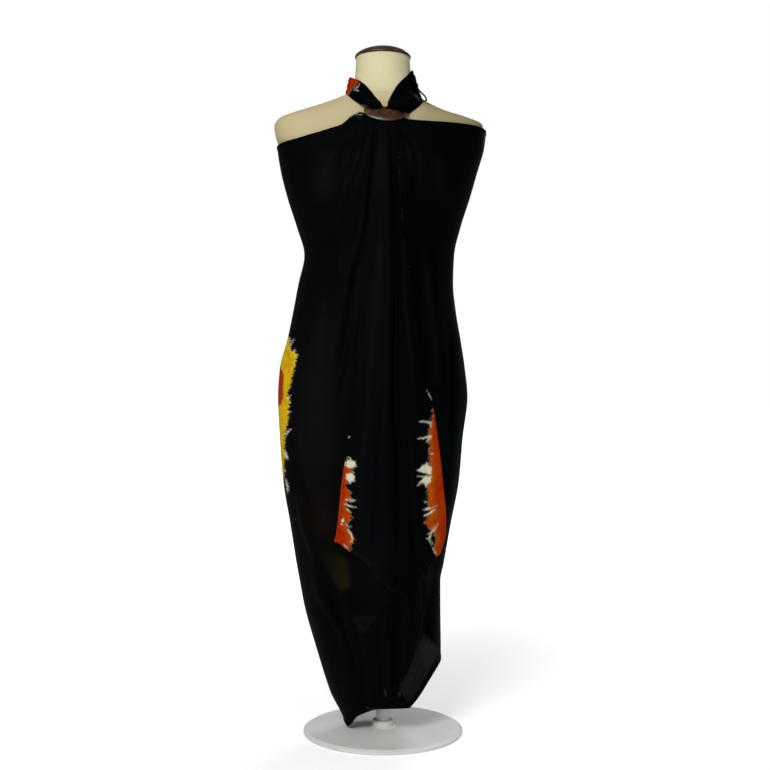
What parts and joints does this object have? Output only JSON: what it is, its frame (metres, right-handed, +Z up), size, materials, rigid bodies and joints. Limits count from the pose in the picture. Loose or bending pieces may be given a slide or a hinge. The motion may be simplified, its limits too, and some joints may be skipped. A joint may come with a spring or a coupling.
{
  "type": "sarong on a dress form",
  "caption": "Tie-dyed sarong worn as a halter dress through an oval shell buckle, on a limbless dress form with a neck cap, pole and round base.",
  "frame": {"origin": "on the floor, under the middle of the round base", "axes": "+Z up, the front of the sarong faces -Y, +X to the viewer's right"},
  "size_m": [0.3988, 0.3, 1.2903],
  "materials": {
    "cloth": "thin black rayon, tie-dyed in orange, yellow, red and white",
    "linen": "cream linen cover, matte",
    "wood": "dark brown, satin varnish",
    "shell": "polished coconut shell",
    "steel": "white, satin"
  },
  "bodies": {
    "root": {"wrap": "cloth", "inner_corner": "cloth", "fall_right": "cloth", "fall_left": "cloth", "tail_left": "cloth", "tail_right": "cloth", "nape_knot": "cloth", "knot_end_left": "cloth", "knot_end_right": "cloth", "buckle": "shell", "form": "linen", "neck_cap": "wood", "pole": "steel", "base": "steel"}
  },
  "joints": []
}
